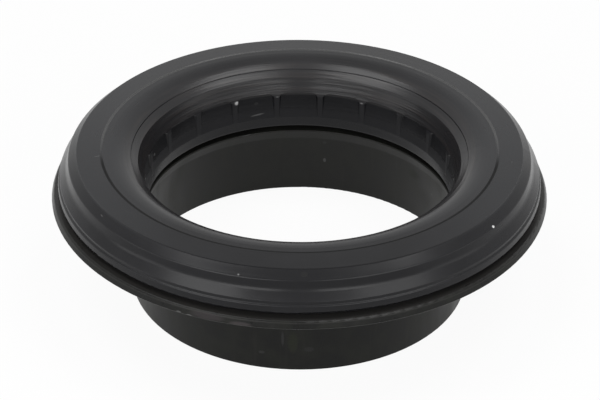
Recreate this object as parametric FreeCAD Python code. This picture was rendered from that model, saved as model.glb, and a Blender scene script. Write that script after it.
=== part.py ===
import FreeCAD, Part
import math
import os

# Strut mount bearing: a moulded cap that turns on a ring of balls over a moulded housing,
# which seats a coil spring under its flange and guides it on its tube.
# Millimetres. Z is the steering axis and points up. The foot of the tube is at Z = 0.

# Main sizes
bore_radius = 40.1
tube_length = 26.62

# Upper cap
mouth_rounding = 9.5
mouth_sweep = 36.5
crease_fall = 0.3
crease_run = 0.1
brim_run = 1.75
brim_fall = 1.35
brim_rounding = 0.3
bore_height = 9.36
collar_wall = 1.9
collar_reach = 4.54
collar_rounding = 0.5
roof_thickness = 2.63
land_width = 1.85
step_height = 0.17
step_run = 0.2
face_fall = 0.5
rim_fall = 0.3
rim_run = 0.05
shoulder_run = 2.2
shoulder_fall = 1.7
shoulder_rounding = 0.8
wall_draft = 0.6
wall_height = 2.2
ledge_run = 1.74
ledge_fall = 2.45
ledge_rounding = 3.0
ridge_rounding = 0.3
waist_fall = 0.75
waist_rounding = 0.2
band_run = 0.4
band_fall = 0.25
band_rounding = 0.6
skirt_flare = 0.25
skirt_wall = 1.8
skirt_gap = 1.13
skirt_rounding = 0.8
locating_wall = 1.7
locating_drop = 1.7
cavity_sink = 0.1

# Pockets round the collar's bore
pocket_count = 21
pocket_first_angle = 90.6
pocket_lap = 1.05
pocket_sill = 3.0
pocket_depth = 0.6
pocket_corner = 1.1
rib_width = 1.3
rib_side = 0.6

# Snap lugs that hold the cap down
lug_reach = 0.4
lug_height = 1.5
lug_lift = 0.5
lug_width = 6.0
lug_clearance = 0.3

# Balls and races
ball_count = 36
ball_diameter = 5.556
ball_clearance = 0.04
pitch_offset = 2.4
race_thickness = 1.4
race_lip = 1.0
race_fit = 0.02

# Cage
cage_margin = 1.3
cage_thickness = 1.6
cage_pocket_clearance = 0.15

# Lower housing
tube_wall = 1.52
foot_wall = 1.6
throat_gap = 1.65
throat_step = 0.25
throat_rounding_height = 3.0
throat_rounding_depth = 1.1
throat_blend = 2.0
seat_fillet = 1.6
floor_thickness = 2.5
flange_reach = 1.81
flange_thickness = 2.0
flange_draft = 0.8
flange_rounding = 0.7
upstand_thickness = 1.4
upstand_gap = 0.45
upstand_clearance = 0.9
hub_gap = 0.5
hub_lift = 0.7

# Lip seals
seal_base = 0.9
seal_lip = 0.5
seal_clearance = 0.15
seal_channel = 1.6
outer_seal_width = 1.1
outer_seal_height = 2.6
inner_seal_width = 2.0
inner_seal_angle = 58.0

# Small edge roundings
edge = 0.3

# Heights, from the foot up
seat_z = tube_length
flange_top_z = seat_z + flange_thickness
floor_z = seat_z + floor_thickness
groove_radius = ball_diameter / 2 + ball_clearance
race_rounding = groove_radius + race_thickness
ball_z = floor_z + race_rounding
hub_top_z = ball_z + hub_lift
roof_z = ball_z + race_rounding
top_z = roof_z + roof_thickness
face_z = top_z - step_height
face_edge_z = top_z - face_fall
rim_z = face_edge_z - rim_fall
shoulder_z = rim_z - shoulder_fall
ledge_z = shoulder_z - wall_height
ridge_z = ledge_z - ledge_fall
waist_z = ridge_z - waist_fall
band_z = waist_z - band_fall
cavity_z = ridge_z - cavity_sink
locating_z = ball_z - locating_drop
upstand_top_z = cavity_z - upstand_clearance
skirt_z = flange_top_z + skirt_gap
collar_z = seat_z - collar_reach
throat_z = collar_z - throat_gap
mouth_z = face_z - mouth_rounding
crease_z = mouth_z + mouth_rounding * math.cos(math.radians(mouth_sweep))
brim_z = crease_z - crease_fall - brim_fall
tooth_z = collar_z + bore_height
pocket_top_z = tooth_z + pocket_lap
pocket_bottom_z = collar_z + pocket_sill
lug_z = collar_z + lug_lift
lug_top_z = lug_z + lug_height
lug_roof_z = lug_top_z + lug_clearance

# Radii, from the bore out
mouth_radius = bore_radius + mouth_rounding
mouth_corner = mouth_radius - mouth_rounding * math.tan(math.radians(mouth_sweep / 2))
crease_radius = mouth_radius - mouth_rounding * math.sin(math.radians(mouth_sweep))
brim_radius = crease_radius - crease_run - brim_run
land_radius = mouth_radius + land_width
collar_radius = bore_radius + collar_wall
hub_radius = collar_radius + hub_gap
lug_radius = hub_radius + lug_reach
lug_groove_radius = lug_radius + lug_clearance
tube_radius = lug_groove_radius + tube_wall
foot_bore_radius = tube_radius - foot_wall
throat_radius = bore_radius + throat_step
pitch_radius = mouth_radius + pitch_offset
seat_radius_lower = pitch_radius - race_rounding - race_fit
seat_radius_upper = pitch_radius + race_rounding + race_fit
locating_radius = seat_radius_upper + locating_wall
upstand_inner = locating_radius + upstand_gap
upstand_outer = upstand_inner + upstand_thickness
skirt_radius = upstand_outer + seal_channel + skirt_wall
band_radius = skirt_radius - skirt_flare
ridge_radius = band_radius - band_run
ledge_radius = ridge_radius - ledge_run
shoulder_radius = ledge_radius - wall_draft
rim_radius = shoulder_radius - shoulder_run
face_radius = rim_radius - rim_run
flange_radius = skirt_radius + flange_reach

# The pitch of the pockets along the bore
pocket_pitch = 2 * math.pi * bore_radius / pocket_count

# The rounding under the mouth, which the hub's top follows
under_rounding = mouth_rounding - collar_wall
under_z = roof_z - under_rounding
crown_reach = math.sqrt((under_rounding - hub_gap) ** 2 - (hub_top_z - under_z) ** 2)
crown_radius = mouth_radius - crown_reach


def rounded_face(corners):
    """A flat face through (radius, height, rounding) corners, each rounded by a tangent arc."""
    starts = []
    ends = []
    arcs = []
    for index, (r, z, rounding) in enumerate(corners):
        here = FreeCAD.Vector(r, 0, z)
        before = corners[index - 1]
        after = corners[(index + 1) % len(corners)]
        to_before = (FreeCAD.Vector(before[0], 0, before[1]) - here).normalize()
        to_after = (FreeCAD.Vector(after[0], 0, after[1]) - here).normalize()
        if rounding == 0:
            starts.append(here)
            ends.append(here)
            arcs.append(None)
            continue
        half = to_before.getAngle(to_after) / 2
        cut = rounding / math.tan(half)
        inward = (to_before + to_after).normalize()
        start = here + to_before * cut
        end = here + to_after * cut
        middle = here + inward * (rounding / math.sin(half) - rounding)
        starts.append(start)
        ends.append(end)
        arcs.append(Part.Arc(start, middle, end).toShape())
    edges = []
    for index, arc in enumerate(arcs):
        if arc is not None:
            edges.append(arc)
        following = starts[(index + 1) % len(arcs)]
        if ends[index].distanceToPoint(following) > 1e-6:
            edges.append(Part.LineSegment(ends[index], following).toShape())
    return Part.Face(Part.Wire(edges))


def turned(corners, angle=360.0):
    """The solid that a rounded outline sweeps as it turns about Z."""
    face = rounded_face(corners)
    return face.revolve(FreeCAD.Vector(0, 0, 0), FreeCAD.Vector(0, 0, 1), angle)


def turned_to(shape, angle):
    """A copy of a shape, turned about Z."""
    copy = shape.copy()
    copy.rotate(FreeCAD.Vector(0, 0, 0), FreeCAD.Vector(0, 0, 1), angle)
    return copy


def upper_cap():
    """The moulded cap: collar, rounded mouth, stepped face, ledge, ridge and skirt."""
    cap = turned([
        (bore_radius, collar_z, collar_rounding),
        (bore_radius, tooth_z, 0),
        (brim_radius, brim_z, brim_rounding),
        (crease_radius - crease_run, crease_z - crease_fall, 0),
        (crease_radius, crease_z, 0),
        (mouth_corner, face_z, mouth_rounding),
        (land_radius, face_z, 0),
        (land_radius + step_run, top_z, 0),
        (face_radius, face_edge_z, 0),
        (rim_radius, rim_z, 0),
        (shoulder_radius, shoulder_z, shoulder_rounding),
        (ledge_radius, ledge_z, ledge_rounding),
        (ridge_radius, ridge_z, ridge_rounding),
        (ridge_radius, waist_z, waist_rounding),
        (band_radius, band_z, band_rounding),
        (skirt_radius, skirt_z, skirt_rounding),
        (skirt_radius - skirt_wall, skirt_z, edge),
        (ridge_radius - skirt_wall, cavity_z, edge),
        (locating_radius, cavity_z, edge),
        (locating_radius, locating_z, 0),
        (seat_radius_upper, locating_z, 0),
        (seat_radius_upper, roof_z, race_rounding),
        (collar_radius, roof_z, under_rounding),
        (collar_radius, collar_z, edge),
    ])
    cap = cap.cut([turned_to(pocket(), angle) for angle in pocket_angles()])
    return cap.fuse([turned_to(snap_lug(), angle) for angle in pocket_angles()])


def pocket_angles():
    """Where the pockets are centred round the bore."""
    return [pocket_first_angle + 360.0 * index / pocket_count for index in range(pocket_count)]


def centred_sector(corners, width, radius):
    """A turned solid as wide as given at a radius, centred on the X axis."""
    angle = math.degrees(width / radius)
    return turned_to(turned(corners, angle), -angle / 2)


def pocket():
    """What is cut from the bore for one pocket: deep at its top, running out to nothing below."""
    low = 2 * pocket_bottom_z - pocket_top_z
    panel = centred_sector([
        (bore_radius - pocket_depth, low, 0),
        (bore_radius + pocket_depth, pocket_top_z, 0),
        (bore_radius - pocket_depth, pocket_top_z, 0),
    ], pocket_pitch, bore_radius)
    return panel.common(between_ribs(low))


def between_ribs(low):
    """The space between two ribs, whose sides lean so that each rib is widest at its root."""
    half = (pocket_pitch - rib_width) / 2
    corners = [(-1, half + rib_side), (2, half - 2 * rib_side)]
    plan = [on_rib(steps, -arc, low) for steps, arc in corners]
    plan += [on_rib(steps, arc, low) for steps, arc in reversed(corners)]
    face = Part.Face(Part.makePolygon(plan + plan[:1]))
    space = face.extrude(FreeCAD.Vector(0, 0, pocket_top_z - low))
    top_sides = [line for line in space.Edges if is_top_side(line)]
    return space.makeFillet(pocket_corner, top_sides)


def on_rib(steps, arc, z):
    """A point so many pocket depths outside the bore, turned from the X axis by an arc of the bore."""
    radius = bore_radius + steps * pocket_depth
    angle = arc / bore_radius
    return FreeCAD.Vector(radius * math.cos(angle), radius * math.sin(angle), z)


def is_top_side(line):
    """Whether an edge of the space between two ribs lies in its top and along a rib."""
    first = line.Vertexes[0].Point
    last = line.Vertexes[-1].Point
    level = min(first.z, last.z) > pocket_top_z - 1e-6
    return level and abs(first.x - last.x) > pocket_depth


def snap_lug():
    """One lug outside the collar, with a flat top that hooks and a slope below that springs past."""
    inside = collar_radius - collar_wall / 2
    return centred_sector([
        (inside, lug_z, 0),
        (collar_radius, lug_z, 0),
        (lug_radius, lug_top_z - lug_height / 3, 0),
        (lug_radius, lug_top_z, 0),
        (inside, lug_top_z, 0),
    ], lug_width, collar_radius)


def lower_housing():
    """The moulded housing: guide tube, spring seat flange, race seat, hub and upstand."""
    return turned([
        (tube_radius, 0, edge),
        (tube_radius, seat_z, seat_fillet),
        (flange_radius, seat_z, edge),
        (flange_radius - flange_draft, flange_top_z, flange_rounding),
        (upstand_outer, flange_top_z, 0),
        (upstand_outer, upstand_top_z, edge),
        (upstand_inner, upstand_top_z, edge),
        (upstand_inner, floor_z, 0),
        (seat_radius_lower, floor_z, race_rounding),
        (seat_radius_lower, hub_top_z, 0),
        (crown_radius, hub_top_z, edge),
        (hub_radius, under_z, 0),
        (hub_radius, lug_roof_z, 0),
        (lug_groove_radius, lug_roof_z, 0),
        (lug_groove_radius, throat_z, 0),
        (throat_radius, throat_z, edge),
        (throat_radius + throat_rounding_depth, throat_z - throat_rounding_height, throat_blend),
        (foot_bore_radius, 0, edge),
    ])


def upper_race():
    """The pressed steel ring in the cap, over the balls and outside them."""
    low = ball_z - race_lip
    inner = pitch_radius - race_lip
    outside = pitch_radius + race_rounding
    return turned([
        (inner, roof_z, 0),
        (outside, roof_z, race_rounding),
        (outside, low, 0),
        (outside - race_thickness, low, 0),
        (outside - race_thickness, roof_z - race_thickness, groove_radius),
        (inner, roof_z - race_thickness, 0),
    ])


def lower_race():
    """The pressed steel ring on the housing, under the balls and inside them."""
    high = ball_z + race_lip
    outer = pitch_radius + race_lip
    inside = pitch_radius - race_rounding
    return turned([
        (outer, floor_z, 0),
        (inside, floor_z, race_rounding),
        (inside, high, 0),
        (inside + race_thickness, high, 0),
        (inside + race_thickness, floor_z + race_thickness, groove_radius),
        (outer, floor_z + race_thickness, 0),
    ])


def ball(angle):
    """One ball on the pitch circle."""
    sphere = Part.makeSphere(ball_diameter / 2, FreeCAD.Vector(pitch_radius, 0, ball_z))
    return turned_to(sphere, angle)


def ball_cage():
    """The cone-shaped cage between the races, with a round pocket for each ball."""
    along = (ball_diameter / 2 + cage_margin) / math.sqrt(2)
    across = cage_thickness / 2 / math.sqrt(2)
    cage = turned([
        (pitch_radius + along + across, ball_z - along + across, 0),
        (pitch_radius - along + across, ball_z + along + across, 0),
        (pitch_radius - along - across, ball_z + along - across, 0),
        (pitch_radius + along - across, ball_z - along - across, 0),
    ])
    reach = FreeCAD.Vector(1, 0, 1).normalize() * cage_thickness * 2
    place = FreeCAD.Vector(pitch_radius, 0, ball_z) - reach
    hole_radius = ball_diameter / 2 + cage_pocket_clearance
    hole = Part.makeCylinder(hole_radius, reach.Length * 2, place, reach)
    return cage.cut([turned_to(hole, angle) for angle in ball_angles()])


def ball_angles():
    """Where the balls stand round the pitch circle."""
    return [360.0 * index / ball_count for index in range(ball_count)]


def inner_seal():
    """The lip seal on the hub, which leans to the underside of the cap's mouth."""
    lean = math.radians(inner_seal_angle)
    reach = under_rounding - seal_clearance
    tip_r = mouth_radius - reach * math.cos(lean)
    tip_z = under_z + reach * math.sin(lean)
    middle = (crown_radius + seat_radius_lower) / 2
    low = hub_top_z
    return turned([
        (middle - inner_seal_width / 2, low, 0),
        (middle + inner_seal_width / 2, low, 0),
        (middle + inner_seal_width / 2, low + seal_base, 0),
        (middle + seal_lip, low + seal_base, 0),
        (tip_r + seal_lip, tip_z, 0),
        (tip_r, tip_z, 0),
        (middle - seal_lip / 2, low + seal_base, 0),
        (middle - inner_seal_width / 2, low + seal_base, 0),
    ])


def skirt_inside(z):
    """The radius of the skirt's inner face at a height."""
    share = (z - skirt_z) / (cavity_z - skirt_z)
    low = skirt_radius - skirt_wall
    high = ridge_radius - skirt_wall
    return low + share * (high - low)


def outer_seal():
    """The lip seal outside the upstand, which leans to the inside of the cap's skirt."""
    inside = upstand_outer
    outside = upstand_outer + outer_seal_width
    low = flange_top_z
    tip_z = low + outer_seal_height
    tip_r = skirt_inside(tip_z) - seal_clearance
    return turned([
        (inside, low, 0),
        (outside, low, 0),
        (outside, low + seal_base, 0),
        (tip_r, tip_z - seal_lip, 0),
        (tip_r, tip_z, 0),
        (inside, low + seal_base * 2, 0),
    ])


os.makedirs("parts", exist_ok=True)
pieces = {
    "upper_cap": upper_cap(),
    "upper_race": upper_race(),
    "ball_cage": ball_cage(),
    "lower_race": lower_race(),
    "inner_seal": inner_seal(),
    "outer_seal": outer_seal(),
    "lower_housing": lower_housing(),
}
for index, angle in enumerate(ball_angles()):
    pieces["ball_%02d" % (index + 1)] = ball(angle)
for name, solid in pieces.items():
    print(name, solid.isValid(), len(solid.Solids), round(solid.Volume, 2))
    solid.exportStep("parts/" + name + ".step")
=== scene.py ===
"""Finishes and stage for a strut mount bearing.

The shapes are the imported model's own. This file gives each piece its material, and sets the
camera, the lamps, the floor and the background.
"""

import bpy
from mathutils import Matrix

bl_info = {
    "name": "Strut Mount Bearing",
    "version": (1, 0, 0),
    "blender": (4, 5, 0),
    "location": "View3D > Sidebar > Strut Mount",
    "description": "Moulded, steel and rubber finishes for a strut mount bearing, with its stage",
    "category": "Material",
}

import math

import bpy
import numpy as np
from bpy.props import FloatProperty, FloatVectorProperty, PointerProperty
from mathutils import Matrix, Vector

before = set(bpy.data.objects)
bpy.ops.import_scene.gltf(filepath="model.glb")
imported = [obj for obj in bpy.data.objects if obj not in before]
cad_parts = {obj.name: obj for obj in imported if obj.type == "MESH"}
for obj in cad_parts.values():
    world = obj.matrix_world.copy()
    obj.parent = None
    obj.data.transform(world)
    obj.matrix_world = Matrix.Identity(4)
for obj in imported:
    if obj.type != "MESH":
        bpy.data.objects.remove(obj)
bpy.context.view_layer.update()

MM = 0.001
WEAR_ROUGHNESS = 0.2


# Shader maths

class Field:
    """A value that varies over a surface, held as a shader socket.

    An expression on fields and numbers adds the Math nodes that work it out.
    """

    def __init__(self, finish, socket):
        self.finish = finish
        self.socket = socket

    def math(self, operation, first, second=0.0):
        return self.finish.node("ShaderNodeMath", {"operation": operation}, {0: first, 1: second})

    def __add__(self, other):
        return self.math("ADD", self, other)

    __radd__ = __add__

    def __sub__(self, other):
        return self.math("SUBTRACT", self, other)

    def __rsub__(self, other):
        return self.math("SUBTRACT", other, self)

    def __mul__(self, other):
        return self.math("MULTIPLY", self, other)

    __rmul__ = __mul__

    def __truediv__(self, other):
        return self.math("DIVIDE", self, other)

    def __pow__(self, other):
        return self.math("POWER", self, other)

    def also(self, other):
        """The larger of two masks."""
        return self.math("MAXIMUM", self, other)

    def ramp(self, low, high):
        """0 below low, 1 above high and a smooth rise between; low may be the larger."""
        if low > high:
            return 1.0 - self.ramp(high, low)
        return self.finish.node(
            "ShaderNodeMapRange",
            {"interpolation_type": "SMOOTHSTEP"},
            {"Value": self, "From Min": low, "From Max": high},
        )

    def over(self, span):
        """A ramp between two places in millimetres."""
        return self.ramp(span[0] * MM, span[1] * MM)

    def output(self, name):
        """Another output of the same node."""
        return Field(self.finish, self.socket.node.outputs[name])


class Nodes:
    """The node tree of a material or of the world."""

    def __init__(self, owner):
        owner.use_nodes = True
        self.tree = owner.node_tree
        self.tree.nodes.clear()

    def node(self, kind, settings=None, inputs=None, output=0):
        """Adds any node: its settings first, then the values or links of its sockets."""
        node = self.tree.nodes.new(kind)
        for name, value in (settings or {}).items():
            setattr(node, name, value)
        for name, value in (inputs or {}).items():
            if isinstance(value, Field):
                self.tree.links.new(value.socket, node.inputs[name])
            else:
                node.inputs[name].default_value = value
        return Field(self, node.outputs[output])

    def seen(self):
        """1 for the rays that show the background: from the camera, and off or through gloss."""
        path = self.node("ShaderNodeLightPath", output="Is Camera Ray")
        return path.also(path.output("Is Glossy Ray")).also(path.output("Is Transmission Ray"))

    def end(self, shader, kind="ShaderNodeOutputMaterial"):
        """Joins a shader to the tree's output."""
        output = self.tree.nodes.new(kind)
        self.tree.links.new(shader.socket, output.inputs["Surface"])


class Finish(Nodes):
    """One material, with the coordinates that its patterns are written in."""

    def __init__(self, name):
        self.material = bpy.data.materials.new(name)
        super().__init__(self.material)
        self.place = self.node("ShaderNodeTexCoord", output="Object")
        parts = self.node("ShaderNodeSeparateXYZ", inputs={0: self.place})
        self.x = parts.output("X")
        self.y = parts.output("Y")
        self.height = parts.output("Z")
        self.radius = (self.x * self.x + self.y * self.y) ** 0.5

    def noise(self, size, detail=2.0, place=None):
        """Cloudy noise between 0 and 1, with features of about a size in metres."""
        return self.node(
            "ShaderNodeTexNoise",
            {"noise_dimensions": "3D"},
            {"Vector": place or self.place, "Scale": 1.0 / size, "Detail": detail},
            "Fac",
        )

    def turned_noise(self, across, turns, detail=2.0):
        """Noise drawn out round the axis: fine lines that follow the piece's turning.

        The noise is read at (turns * cos angle, turns * sin angle, height / across), and its
        fourth coordinate is radius / across, so that a line runs along the circumference.
        """
        place = self.node(
            "ShaderNodeCombineXYZ",
            inputs={0: self.x / self.radius * turns, 1: self.y / self.radius * turns,
                    2: self.height / across},
        )
        return self.node(
            "ShaderNodeTexNoise",
            {"noise_dimensions": "4D"},
            {"Vector": place, "W": self.radius / across, "Scale": 1.0, "Detail": detail},
            "Fac",
        )

    def upright_noise(self, across, along, detail=2.0):
        """Noise drawn out along the axis: streaks that run up and down a wall."""
        place = self.node(
            "ShaderNodeCombineXYZ",
            inputs={0: self.x / across, 1: self.y / across, 2: self.height / along},
        )
        return self.noise(1.0, detail, place)

    def mark(self, radius, angle, height, long, wide, heading=(0.0, 1.0, 0.0)):
        """A soft-edged oval at a radius, an angle from the right and a height.

        Its half sizes are in millimetres, and it runs along a heading of three parts: out from
        the axis, round it, and up.
        """
        turn = math.radians(angle)
        out = Vector((math.cos(turn), math.sin(turn), 0.0))
        beside = Vector((-math.sin(turn), math.cos(turn), 0.0))
        above = Vector((0.0, 0.0, 1.0))
        along = (heading[0] * out + heading[1] * beside + heading[2] * above).normalized()
        offset = self.vector("SUBTRACT", self.place, (radius * out + height * above) * MM)
        run = self.vector("DOT_PRODUCT", offset, along)
        reach = self.vector("LENGTH", offset)
        aside = reach * reach - run * run
        return (run * run / (long * MM) ** 2 + aside / (wide * MM) ** 2).ramp(1.1, 0.2)

    def vector(self, operation, first, second=(0.0, 0.0, 0.0)):
        """A Vector Math node, by the name of its operation."""
        result = "Value" if operation in ("DOT_PRODUCT", "LENGTH") else "Vector"
        return self.node(
            "ShaderNodeVectorMath", {"operation": operation}, {0: first, 1: second}, result,
        )

    def lay_wear_and_glints(self, colour, rough, marks):
        """Lays marks over a colour and a roughness: each is an oval, its tint and its share."""
        for place, tint, share in marks:
            spot = self.mark(*place) * share
            colour = self.blend(spot, colour, tint)
            rough = rough + spot * WEAR_ROUGHNESS
        return colour, rough

    def blend(self, share, first, second):
        """A colour that goes from the first to the second."""
        return self.node(
            "ShaderNodeMix",
            {"data_type": "RGBA", "blend_type": "MIX"},
            {0: share, 6: first, 7: second},
            2,
        )

    def bump(self, height, depth, under=None):
        """A normal from a height field between 0 and 1 that stands up to a depth in metres."""
        inputs = {"Strength": 1.0, "Distance": depth, "Height": height}
        if under is not None:
            inputs["Normal"] = under
        return self.node("ShaderNodeBump", inputs=inputs)

    def surface(self, colour, roughness, normal=None, **sockets):
        """Ends the material in one Principled shader; other sockets take plain numbers."""
        inputs = {"Base Color": colour, "Roughness": roughness}
        if normal is not None:
            inputs["Normal"] = normal
        for name, value in sockets.items():
            inputs[name.replace("_", " ")] = value
        shader = self.node("ShaderNodeBsdfPrincipled", inputs=inputs)
        self.end(shader)

    def dress(self, *nodes):
        """Puts the material on CAD nodes, by their names."""
        for name in nodes:
            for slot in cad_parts[name].material_slots:
                slot.material = self.material


def grey(value, warm=0.0):
    """A grey, a little warmer or colder."""
    return (value * (1 + warm), value, value * (1 - warm), 1.0)


def opaque(colour):
    """A colour setting as the four numbers that a shader takes."""
    return tuple(colour) + (1.0,)


# Settings

class CapSettings(bpy.types.PropertyGroup):
    colour: FloatVectorProperty(
        name="Colour", description="Colour of the moulded cap", subtype="COLOR",
        size=3, min=0.0, max=1.0, default=(0.0062, 0.0062, 0.0073))
    roughness: FloatProperty(
        name="Roughness", description="How matt the cap is", subtype="FACTOR",
        min=0.0, max=1.0, default=0.25)
    gloss: FloatProperty(
        name="Gloss", description="How strongly the cap reflects", subtype="FACTOR",
        min=0.0, max=1.0, default=0.22)
    grain: FloatProperty(
        name="Grain", description="Size of the fine moulded grain", unit="LENGTH",
        min=0.00005, max=0.002, default=0.0003)


class HousingSettings(bpy.types.PropertyGroup):
    colour: FloatVectorProperty(
        name="Colour", description="Colour of the moulded housing", subtype="COLOR",
        size=3, min=0.0, max=1.0, default=(0.0052, 0.0053, 0.0049))
    roughness: FloatProperty(
        name="Roughness", description="How matt the housing is", subtype="FACTOR",
        min=0.0, max=1.0, default=0.42)
    gloss: FloatProperty(
        name="Gloss", description="How strongly the housing reflects", subtype="FACTOR",
        min=0.0, max=1.0, default=0.16)


class BearingSettings(bpy.types.PropertyGroup):
    steel: FloatVectorProperty(
        name="Steel", description="Colour of the races and balls", subtype="COLOR",
        size=3, min=0.0, max=1.0, default=(0.56, 0.56, 0.57))
    cage: FloatVectorProperty(
        name="Cage", description="Colour of the ball cage", subtype="COLOR",
        size=3, min=0.0, max=1.0, default=(0.62, 0.57, 0.45))
    rubber: FloatVectorProperty(
        name="Rubber", description="Colour of the lip seals", subtype="COLOR",
        size=3, min=0.0, max=1.0, default=(0.016, 0.016, 0.017))


class StageSettings(bpy.types.PropertyGroup):
    floor: FloatVectorProperty(
        name="Floor", description="Colour of the floor", subtype="COLOR",
        size=3, min=0.0, max=1.0, default=(0.92, 0.92, 0.92))
    lamp_level: FloatProperty(
        name="Lamp Level", description="Strength of all the soft lamps together",
        min=0.0, default=1.0)
    surround: FloatProperty(
        name="Surround", description="Strength of the even light from all round",
        min=0.0, default=0.05)
    lens: FloatProperty(
        name="Lens", description="Focal length of the camera", subtype="DISTANCE_CAMERA",
        min=10.0, default=138.3)
    tilt: FloatProperty(
        name="Tilt", description="How far the camera looks down", subtype="ANGLE",
        default=math.radians(32.03))
    roll: FloatProperty(
        name="Roll", description="How far the camera leans sideways", subtype="ANGLE",
        default=math.radians(0.335))
    distance: FloatProperty(
        name="Distance", description="From the camera to the point it looks at", unit="LENGTH",
        min=0.1, default=0.6)
    aim: FloatVectorProperty(
        name="Aim", description="The point that the camera looks at", subtype="TRANSLATION",
        size=3, default=(0.000175, -0.00737, 0.02737))


# Pieces

# Where a finish begins and where it is full, in millimetres
TOP_FACE_HEIGHT = (39.0, 39.4)
MOUTH_RADIUS = (48.5, 45.0)
MOUTH_HEIGHT = (31.6, 32.4)
RIB_RADIUS = (40.35, 40.2)
RIB_HEIGHT = (24.8, 25.6)
STEP_INNER_RADIUS = (51.0, 51.4)
STEP_OUTER_RADIUS = (52.2, 51.8)
# Where the step's painted highlight (back half) and painted shade (front half) lie
STEP_HIGHLIGHT_RADIUS = (51.9, 51.6)
STEP_SHADE_FRONT_Y = (-3.0, -12.0)
STEP_HIGHLIGHT_BACK_Y = (-6.0, 6.0)
FLANGE_RIM_RADIUS = (62.5, 63.5)
FLANGE_EDGE_RADIUS = (64.2, 64.5)
FLANGE_EDGE_HEIGHT = (27.9, 28.2)
INNER_WALL_RADIUS = (43.6, 43.1)
THROAT_HEIGHT = (20.6, 21.2)
GAP_INNER_RADIUS = (58.0, 59.0)
GAP_OUTER_RADIUS = (64.3, 63.4)
GAP_HEIGHT = (27.6, 28.3)

# The same for the painted sheen at both sides of the top face, as the square of x in square
# metres
SIDE_SHEEN_X_SQUARED = (0.0004, 0.0026)

# Tints
CAP_CLOUD = (0.0105, 0.0105, 0.0122, 1.0)
MOUTH_TINT = (0.0225, 0.0220, 0.0232, 1.0)
MOUTH_RUBBED = (0.031, 0.028, 0.028, 1.0)
# Paler colour of the painted sheen at the left and right of the top face
TOP_SIDE_SHEEN = (0.0180, 0.0185, 0.0205, 1.0)
HOUSING_CLOUD = (0.0098, 0.0104, 0.0082, 1.0)
DRAW_STREAK = (0.0150, 0.0142, 0.0125, 1.0)
# Paler flange edge: partly wear, partly a painted sheen standing in for its highlight
EDGE_WEAR_AND_SHEEN = (0.032, 0.031, 0.029, 1.0)
# Paler colour for the flange's top inside the gap under the skirt
GAP_PALE_TINT = (0.026, 0.025, 0.024, 1.0)
INNER_WALL_TINT = (0.022, 0.022, 0.020, 1.0)
NYLON_CLOUD = (0.50, 0.44, 0.31, 1.0)

UPRIGHT = (0.0, 0.0, 1.0)
OUTWARD = (1.0, 0.1, 0.0)

CAP_WEAR_AND_GLINTS = (
    # (radius, angle, height, half length, half width, heading), tint, share
    ((60.0, 323.2, 37.82, 0.45, 0.42), grey(0.75), 1.0),
    # Painted glints: the next four bright spots are highlights painted on the rib teeth
    ((40.2, 115.6, 31.35, 0.8, 0.6), grey(0.45), 1.0),
    ((40.2, 98.9, 31.5, 0.6, 0.2), grey(0.14), 0.8),
    ((40.2, 65.0, 31.45, 0.6, 0.25), grey(0.16), 0.9),
    ((40.4, 163.2, 29.5, 0.6, 0.4), grey(0.12), 0.9),
    ((40.2, 107.0, 26.5, 2.3, 0.26, (0.0, -4.0, 0.5)), grey(0.10), 0.8),
    ((40.6, 107.4, 29.9, 0.7, 0.5), grey(0.025), 0.6),
    ((52.3, 187.7, 40.1, 1.4, 0.2, OUTWARD), grey(0.08), 0.8),
    ((59.1, 213.9, 38.5, 0.75, 0.16, (0.2, 1.0, 0.0)), grey(0.08), 0.7),
    ((55.2, 351.2, 39.88, 0.7, 0.2), grey(0.05), 0.5),
    ((58.9, 271.2, 38.6, 1.0, 0.75), grey(0.001), 0.9),
    ((59.83, 256.0, 37.96, 0.3, 0.25), grey(0.2), 0.8),
)

HOUSING_WEAR = (
    ((42.15, 80.4, 10.1, 0.8, 0.5, UPRIGHT), grey(0.09), 0.8),
    ((41.55, 80.4, 16.2, 0.7, 0.5), grey(0.03), 0.6),
    ((41.98, 30.3, 11.55, 0.5, 0.4), grey(0.06), 0.7),
    ((40.55, 111.7, 20.3, 1.7, 0.14), grey(0.09), 0.8),
    ((64.82, 243.4, 27.0, 0.8, 0.26), grey(0.10), 0.8),
    ((64.80, 245.9, 26.85, 0.9, 0.26), grey(0.11), 0.8),
    ((64.8, 250.0, 27.7, 5.5, 1.1), (0.040, 0.034, 0.036, 1.0), 0.5),
    ((64.82, 257.5, 27.1, 3.2, 0.7), (0.055, 0.047, 0.049, 1.0), 0.5),
    ((44.71, 264.9, 9.6, 2.5, 0.4, UPRIGHT), grey(0.028), 0.8),
    ((44.71, 268.2, 8.5, 3.6, 1.5, UPRIGHT), (0.017, 0.019, 0.012, 1.0), 0.6),
    ((44.71, 258.0, 4.85, 0.9, 0.5), grey(0.035), 0.6),
    ((44.71, 273.4, 6.4, 1.5, 0.9), grey(0.022), 0.6),
    ((41.72, 49.8, 14.3, 1.8, 0.4, UPRIGHT), grey(0.022), 0.5),
    ((41.7, 41.0, 14.3, 2.6, 1.7), (0.018, 0.019, 0.015, 1.0), 0.6),
)


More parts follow.
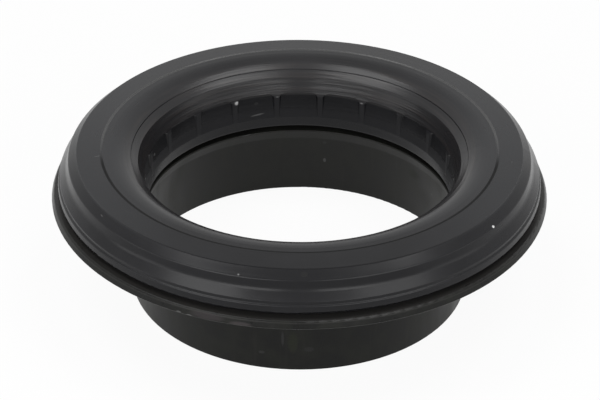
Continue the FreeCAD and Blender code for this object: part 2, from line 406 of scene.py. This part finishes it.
class STRUT_OT_cap(bpy.types.Operator):
    """Gives the cap its satin black moulding, with turning streaks, dust and scuffs, painted
    glints on the rib teeth, painted sheen at the sides of the top face, and a painted highlight
    and painted shade on the step of the top face
    """
    bl_idname = "strut_mount.cap"
    bl_label = "Finish Cap"

    def execute(self, context):
        settings = context.scene.strut_cap
        base = opaque(settings.colour)
        f = Finish("cap_satin_black")
        cloud = f.noise(14 * MM, detail=3.0)
        lines = f.turned_noise(0.9 * MM, 2.2, detail=2.0)
        fine = f.turned_noise(0.35 * MM, 4.0, detail=1.0)
        grain = f.noise(settings.grain, detail=1.0)
        top = f.height.over(TOP_FACE_HEIGHT)
        mouth = f.radius.over(MOUTH_RADIUS) * f.height.over(MOUTH_HEIGHT)
        ribs = f.radius.over(RIB_RADIUS) * f.height.over(RIB_HEIGHT)
        step = f.radius.over(STEP_INNER_RADIUS) * f.radius.over(STEP_OUTER_RADIUS) * top
        # Painted light on the top face's step: a painted highlight along its back half, and
        # painted shade along its front half, which is also made more matt
        painted_step_highlight = step * f.y.over(STEP_HIGHLIGHT_BACK_Y) * f.radius.over(STEP_HIGHLIGHT_RADIUS)
        painted_step_shade = step * f.y.over(STEP_SHADE_FRONT_Y)
        # Painted sheen: the top face is painted paler towards its left and right sides
        painted_side_sheen = (f.x * f.x).ramp(*SIDE_SHEEN_X_SQUARED)
        rubbed = lines.ramp(0.42, 0.7) * mouth
        colour = f.blend(cloud.ramp(0.35, 0.65) * 0.5, base, CAP_CLOUD)
        colour = f.blend(mouth * 0.7, colour, MOUTH_TINT)
        colour = f.blend(rubbed * 0.7, colour, MOUTH_RUBBED)
        colour = f.blend(painted_side_sheen * top * 0.8, colour, TOP_SIDE_SHEEN)
        # Painted shade on the front of the step, then a painted highlight on its back
        colour = f.blend(painted_step_shade, colour, grey(0.001))
        colour = f.blend(painted_step_highlight, colour, grey(0.065))
        rough = settings.roughness + (cloud - 0.5) * 0.12 + (lines - 0.5) * 0.06 - rubbed * 0.08
        rough = rough + ribs * 0.3 + painted_step_shade * 0.6
        # These marks include the painted glints on the rib teeth
        colour, rough = f.lay_wear_and_glints(colour, rough, CAP_WEAR_AND_GLINTS)
        turning = f.bump(lines * mouth + lines * 0.25, 0.00006)
        f.surface(
            colour, rough, f.bump(grain * 0.8 + fine * 0.3, 0.000012, turning),
            Specular_IOR_Level=settings.gloss)
        f.dress("upper_cap")
        return {"FINISHED"}


class STRUT_OT_housing(bpy.types.Operator):
    """Gives the housing its matt black moulding, with draw streaks and handling marks, and a
    flange edge that is partly worn and partly painted sheen
    """
    bl_idname = "strut_mount.housing"
    bl_label = "Finish Housing"

    def execute(self, context):
        settings = context.scene.strut_housing
        base = opaque(settings.colour)
        f = Finish("housing_matt_black")
        cloud = f.noise(7 * MM, detail=4.0)
        draw = f.upright_noise(2.2 * MM, 22 * MM, detail=3.0)
        grain = f.noise(0.35 * MM, detail=1.0)
        rim = f.radius.over(FLANGE_RIM_RADIUS)
        edge = f.radius.over(FLANGE_EDGE_RADIUS) * f.height.over(FLANGE_EDGE_HEIGHT)
        gap = f.radius.over(GAP_INNER_RADIUS) * f.radius.over(GAP_OUTER_RADIUS)
        wall = f.radius.over(INNER_WALL_RADIUS)
        colour = f.blend(cloud.ramp(0.4, 0.65) * 0.7, base, HOUSING_CLOUD)
        colour = f.blend(draw.ramp(0.55, 0.8) * 0.5, colour, DRAW_STREAK)
        # The flange's top edge is partly worn and partly painted sheen, the paler colour standing
        # in for its highlight
        colour = f.blend(edge * 0.7, colour, EDGE_WEAR_AND_SHEEN)
        # The flange's top inside the gap under the skirt is painted paler
        colour = f.blend(gap * f.height.over(GAP_HEIGHT), colour, GAP_PALE_TINT)
        colour = f.blend(wall * 0.4, colour, INNER_WALL_TINT)
        colour = f.blend(wall * f.height.over(THROAT_HEIGHT) * 0.5, colour, grey(0.04))
        rough = settings.roughness + (cloud - 0.5) * 0.25 + (draw - 0.5) * 0.15
        rough = rough - rim * (1.0 - edge) * 0.12
        colour, rough = f.lay_wear_and_glints(colour, rough, HOUSING_WEAR)
        f.surface(
            colour, rough, f.bump(grain + cloud * 0.8, 0.00002),
            Specular_IOR_Level=settings.gloss)
        f.dress("lower_housing")
        return {"FINISHED"}


class STRUT_OT_races(bpy.types.Operator):
    """Gives the two races their pressed and ground steel"""
    bl_idname = "strut_mount.races"
    bl_label = "Finish Races"

    def execute(self, context):
        steel = opaque(context.scene.strut_bearing.steel)
        f = Finish("race_steel")
        lines = f.turned_noise(0.15 * MM, 3.0, detail=3.0)
        cloud = f.noise(6 * MM, detail=3.0)
        colour = f.blend(cloud.ramp(0.4, 0.7) * 0.5, steel, grey(0.42, 0.04))
        rough = 0.24 + (lines - 0.5) * 0.16 + (cloud - 0.5) * 0.1
        f.surface(colour, rough, f.bump(lines, 0.000004), Metallic=1.0)
        f.dress("upper_race", "lower_race")
        return {"FINISHED"}


class STRUT_OT_balls(bpy.types.Operator):
    """Gives the balls their polished steel, with a thin film of grease"""
    bl_idname = "strut_mount.balls"
    bl_label = "Finish Balls"

    def execute(self, context):
        steel = opaque(context.scene.strut_bearing.steel)
        f = Finish("ball_steel")
        film = f.noise(1.4 * MM, detail=3.0)
        colour = f.blend(film.ramp(0.45, 0.7) * 0.5, steel, grey(0.46, 0.10))
        rough = 0.07 + film.ramp(0.45, 0.75) * 0.18
        f.surface(colour, rough, f.bump(film, 0.000003), Metallic=1.0)
        f.dress(*[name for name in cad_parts
                  if name.startswith("ball_") and name != "ball_cage"])
        return {"FINISHED"}


class STRUT_OT_cage(bpy.types.Operator):
    """Gives the cage its natural nylon, a little uneven in tone"""
    bl_idname = "strut_mount.cage"
    bl_label = "Finish Cage"

    def execute(self, context):
        nylon = opaque(context.scene.strut_bearing.cage)
        f = Finish("cage_nylon")
        cloud = f.noise(5 * MM, detail=3.0)
        grain = f.noise(0.25 * MM, detail=1.0)
        colour = f.blend(cloud.ramp(0.35, 0.7) * 0.5, nylon, NYLON_CLOUD)
        rough = 0.42 + (cloud - 0.5) * 0.15
        f.surface(colour, rough, f.bump(grain, 0.00001))
        f.dress("ball_cage")
        return {"FINISHED"}


class STRUT_OT_seals(bpy.types.Operator):
    """Gives the lip seals their black rubber, with a bloom on it"""
    bl_idname = "strut_mount.seals"
    bl_label = "Finish Seals"

    def execute(self, context):
        rubber = opaque(context.scene.strut_bearing.rubber)
        f = Finish("seal_rubber")
        bloom = f.noise(3 * MM, detail=4.0)
        lines = f.turned_noise(0.3 * MM, 3.0)
        colour = f.blend(bloom.ramp(0.5, 0.75) * 0.6, rubber, grey(0.035))
        rough = 0.58 + (bloom - 0.5) * 0.2
        f.surface(colour, rough, f.bump(lines, 0.000008), Specular_IOR_Level=0.4)
        f.dress("inner_seal", "outer_seal")
        return {"FINISHED"}


# Stage

WHITE = (1.0, 1.0, 1.0, 1.0)
FLOOR_REACH = 3.0
FLOOR_RINGS = 6
FLOOR_STEPS = 64
FLOOR_GLOW = 0.94  # the share of the seen floor that is plain white and hides the shadow
LAMP_REACH = 1.5
LAMP_CENTRE = (0.0, 0.0, 0.03)
LAMPS = (
    # name, azimuth from the front and elevation, width and height (degrees), brightness
    ("front_left", -45, 28, 28, 28, 3.6),
    ("front_right", 45, 28, 28, 28, 2.6),
    ("near_left", -20, 22, 20, 14, 4.1),
    ("near_right", 20, 22, 20, 14, 4.0),
    ("low_left", -75, 8, 28, 14, 1.5),
    ("low_right", 75, 8, 28, 14, 1.1),
    ("high_left", -95, 69, 26, 26, 5.4),
    ("high_right", 95, 69, 26, 26, 5.0),
)


def disc(reach, rings, steps):
    """A flat disc at z = 0: the point at ring i and step j is reach * i / rings out at an angle
    of 2 pi j / steps, and the centre is one point shared by all the first ring's triangles."""
    out = np.arange(1, rings + 1)[:, None] / rings * reach
    turn = np.arange(steps)[None, :] / steps * 2 * np.pi
    grid = np.stack([out * np.cos(turn), out * np.sin(turn), np.zeros((rings, steps))], -1)
    points = np.vstack([[[0.0, 0.0, 0.0]], grid.reshape(-1, 3)])
    i, j = np.meshgrid(np.arange(rings - 1), np.arange(steps), indexing="ij")
    beside = (j + 1) % steps
    quads = np.stack([i * steps + j, (i + 1) * steps + j, (i + 1) * steps + beside,
                      i * steps + beside], -1).reshape(-1, 4) + 1
    first = np.arange(steps)
    fans = np.stack([np.zeros(steps, int), first + 1, (first + 1) % steps + 1], -1)
    mesh = bpy.data.meshes.new("floor")
    mesh.from_pydata(points.tolist(), [], quads.tolist() + fans.tolist())
    return mesh


class STRUT_OT_stage(bpy.types.Operator):
    """Sets the white floor, the white surround, the soft lamps and the camera"""
    bl_idname = "strut_mount.stage"
    bl_label = "Set Stage"

    def execute(self, context):
        settings = context.scene.strut_stage
        self.floor(context, settings)
        self.surround(context, settings)
        self.lamps(context, settings)
        self.camera(context, settings)
        context.scene.view_settings.view_transform = "Standard"
        return {"FINISHED"}

    def floor(self, context, settings):
        floor = bpy.data.objects.new("floor", disc(FLOOR_REACH, FLOOR_RINGS, FLOOR_STEPS))
        context.scene.collection.objects.link(floor)
        f = Finish("floor_white")
        paper = f.node("ShaderNodeBsdfDiffuse", inputs={"Color": opaque(settings.floor)})
        glow = f.node("ShaderNodeEmission", inputs={"Color": WHITE, "Strength": 1.0})
        seen = f.seen() * FLOOR_GLOW
        f.end(f.node("ShaderNodeMixShader", inputs={0: seen, 1: paper, 2: glow}))
        floor.data.materials.append(f.material)

    def surround(self, context, settings):
        world = bpy.data.worlds.new("studio")
        context.scene.world = world
        n = Nodes(world)
        soft = n.node("ShaderNodeBackground", inputs={0: WHITE, 1: settings.surround})
        white = n.node("ShaderNodeBackground", inputs={0: WHITE, 1: 1.0})
        mixed = n.node("ShaderNodeMixShader", inputs={0: n.seen(), 1: soft, 2: white})
        n.end(mixed, "ShaderNodeOutputWorld")

    def lamps(self, context, settings):
        """Each soft lamp stands LAMP_REACH from LAMP_CENTRE and looks at it. Its power is its
        brightness times pi times its area."""
        for name, azimuth, elevation, width, height, brightness in LAMPS:
            turn, rise = math.radians(azimuth), math.radians(elevation)
            away = Vector((math.sin(turn) * math.cos(rise), -math.cos(turn) * math.cos(rise),
                           math.sin(rise)))
            data = bpy.data.lights.new(name, "AREA")
            data.shape = "RECTANGLE"
            data.size = 2 * LAMP_REACH * math.tan(math.radians(width / 2))
            data.size_y = 2 * LAMP_REACH * math.tan(math.radians(height / 2))
            data.energy = settings.lamp_level * brightness * math.pi * data.size * data.size_y
            lamp = bpy.data.objects.new(name, data)
            place = Matrix.Translation(Vector(LAMP_CENTRE) + away * LAMP_REACH)
            lamp.matrix_world = place @ away.to_track_quat("Z", "Y").to_matrix().to_4x4()
            context.scene.collection.objects.link(lamp)

    def camera(self, context, settings):
        data = bpy.data.cameras.new("camera")
        data.sensor_width = 36.0
        data.lens = settings.lens
        camera = bpy.data.objects.new("camera", data)
        tilt = Matrix.Rotation(math.pi / 2 - settings.tilt, 4, "X")
        roll = Matrix.Rotation(settings.roll, 4, "Z")
        back = Matrix.Translation((0.0, 0.0, settings.distance))
        camera.matrix_world = Matrix.Translation(settings.aim) @ tilt @ roll @ back
        context.scene.collection.objects.link(camera)
        context.scene.camera = camera


# Sidebar

class VIEW3D_PT_strut_mount(bpy.types.Panel):
    """Lists the settings and the operators"""
    bl_label = "Strut Mount"
    bl_space_type = "VIEW_3D"
    bl_region_type = "UI"
    bl_category = "Strut Mount"

    def draw(self, context):
        layout = self.layout
        for group in ("strut_cap", "strut_housing", "strut_bearing", "strut_stage"):
            settings = getattr(context.scene, group)
            box = layout.box()
            for name in settings.__annotations__:
                box.prop(settings, name)
        for operator in OPERATORS:
            layout.operator(operator.bl_idname)


SETTINGS = {
    "strut_cap": CapSettings,
    "strut_housing": HousingSettings,
    "strut_bearing": BearingSettings,
    "strut_stage": StageSettings,
}
OPERATORS = (STRUT_OT_cap, STRUT_OT_housing, STRUT_OT_races, STRUT_OT_balls, STRUT_OT_cage,
             STRUT_OT_seals, STRUT_OT_stage)


def register():
    for group in SETTINGS.values():
        bpy.utils.register_class(group)
    for name, group in SETTINGS.items():
        setattr(bpy.types.Scene, name, PointerProperty(type=group))
    for operator in OPERATORS:
        bpy.utils.register_class(operator)
    bpy.utils.register_class(VIEW3D_PT_strut_mount)


def unregister():
    bpy.utils.unregister_class(VIEW3D_PT_strut_mount)
    for operator in reversed(OPERATORS):
        bpy.utils.unregister_class(operator)
    for name in SETTINGS:
        delattr(bpy.types.Scene, name)
    for group in reversed(SETTINGS.values()):
        bpy.utils.unregister_class(group)


def main():
    """Registers the add-on, finishes each piece in turn and sets the stage."""
    register()
    for operator in OPERATORS:
        group, name = operator.bl_idname.split(".")
        getattr(getattr(bpy.ops, group), name)()


if __name__ == "__main__":
    main()
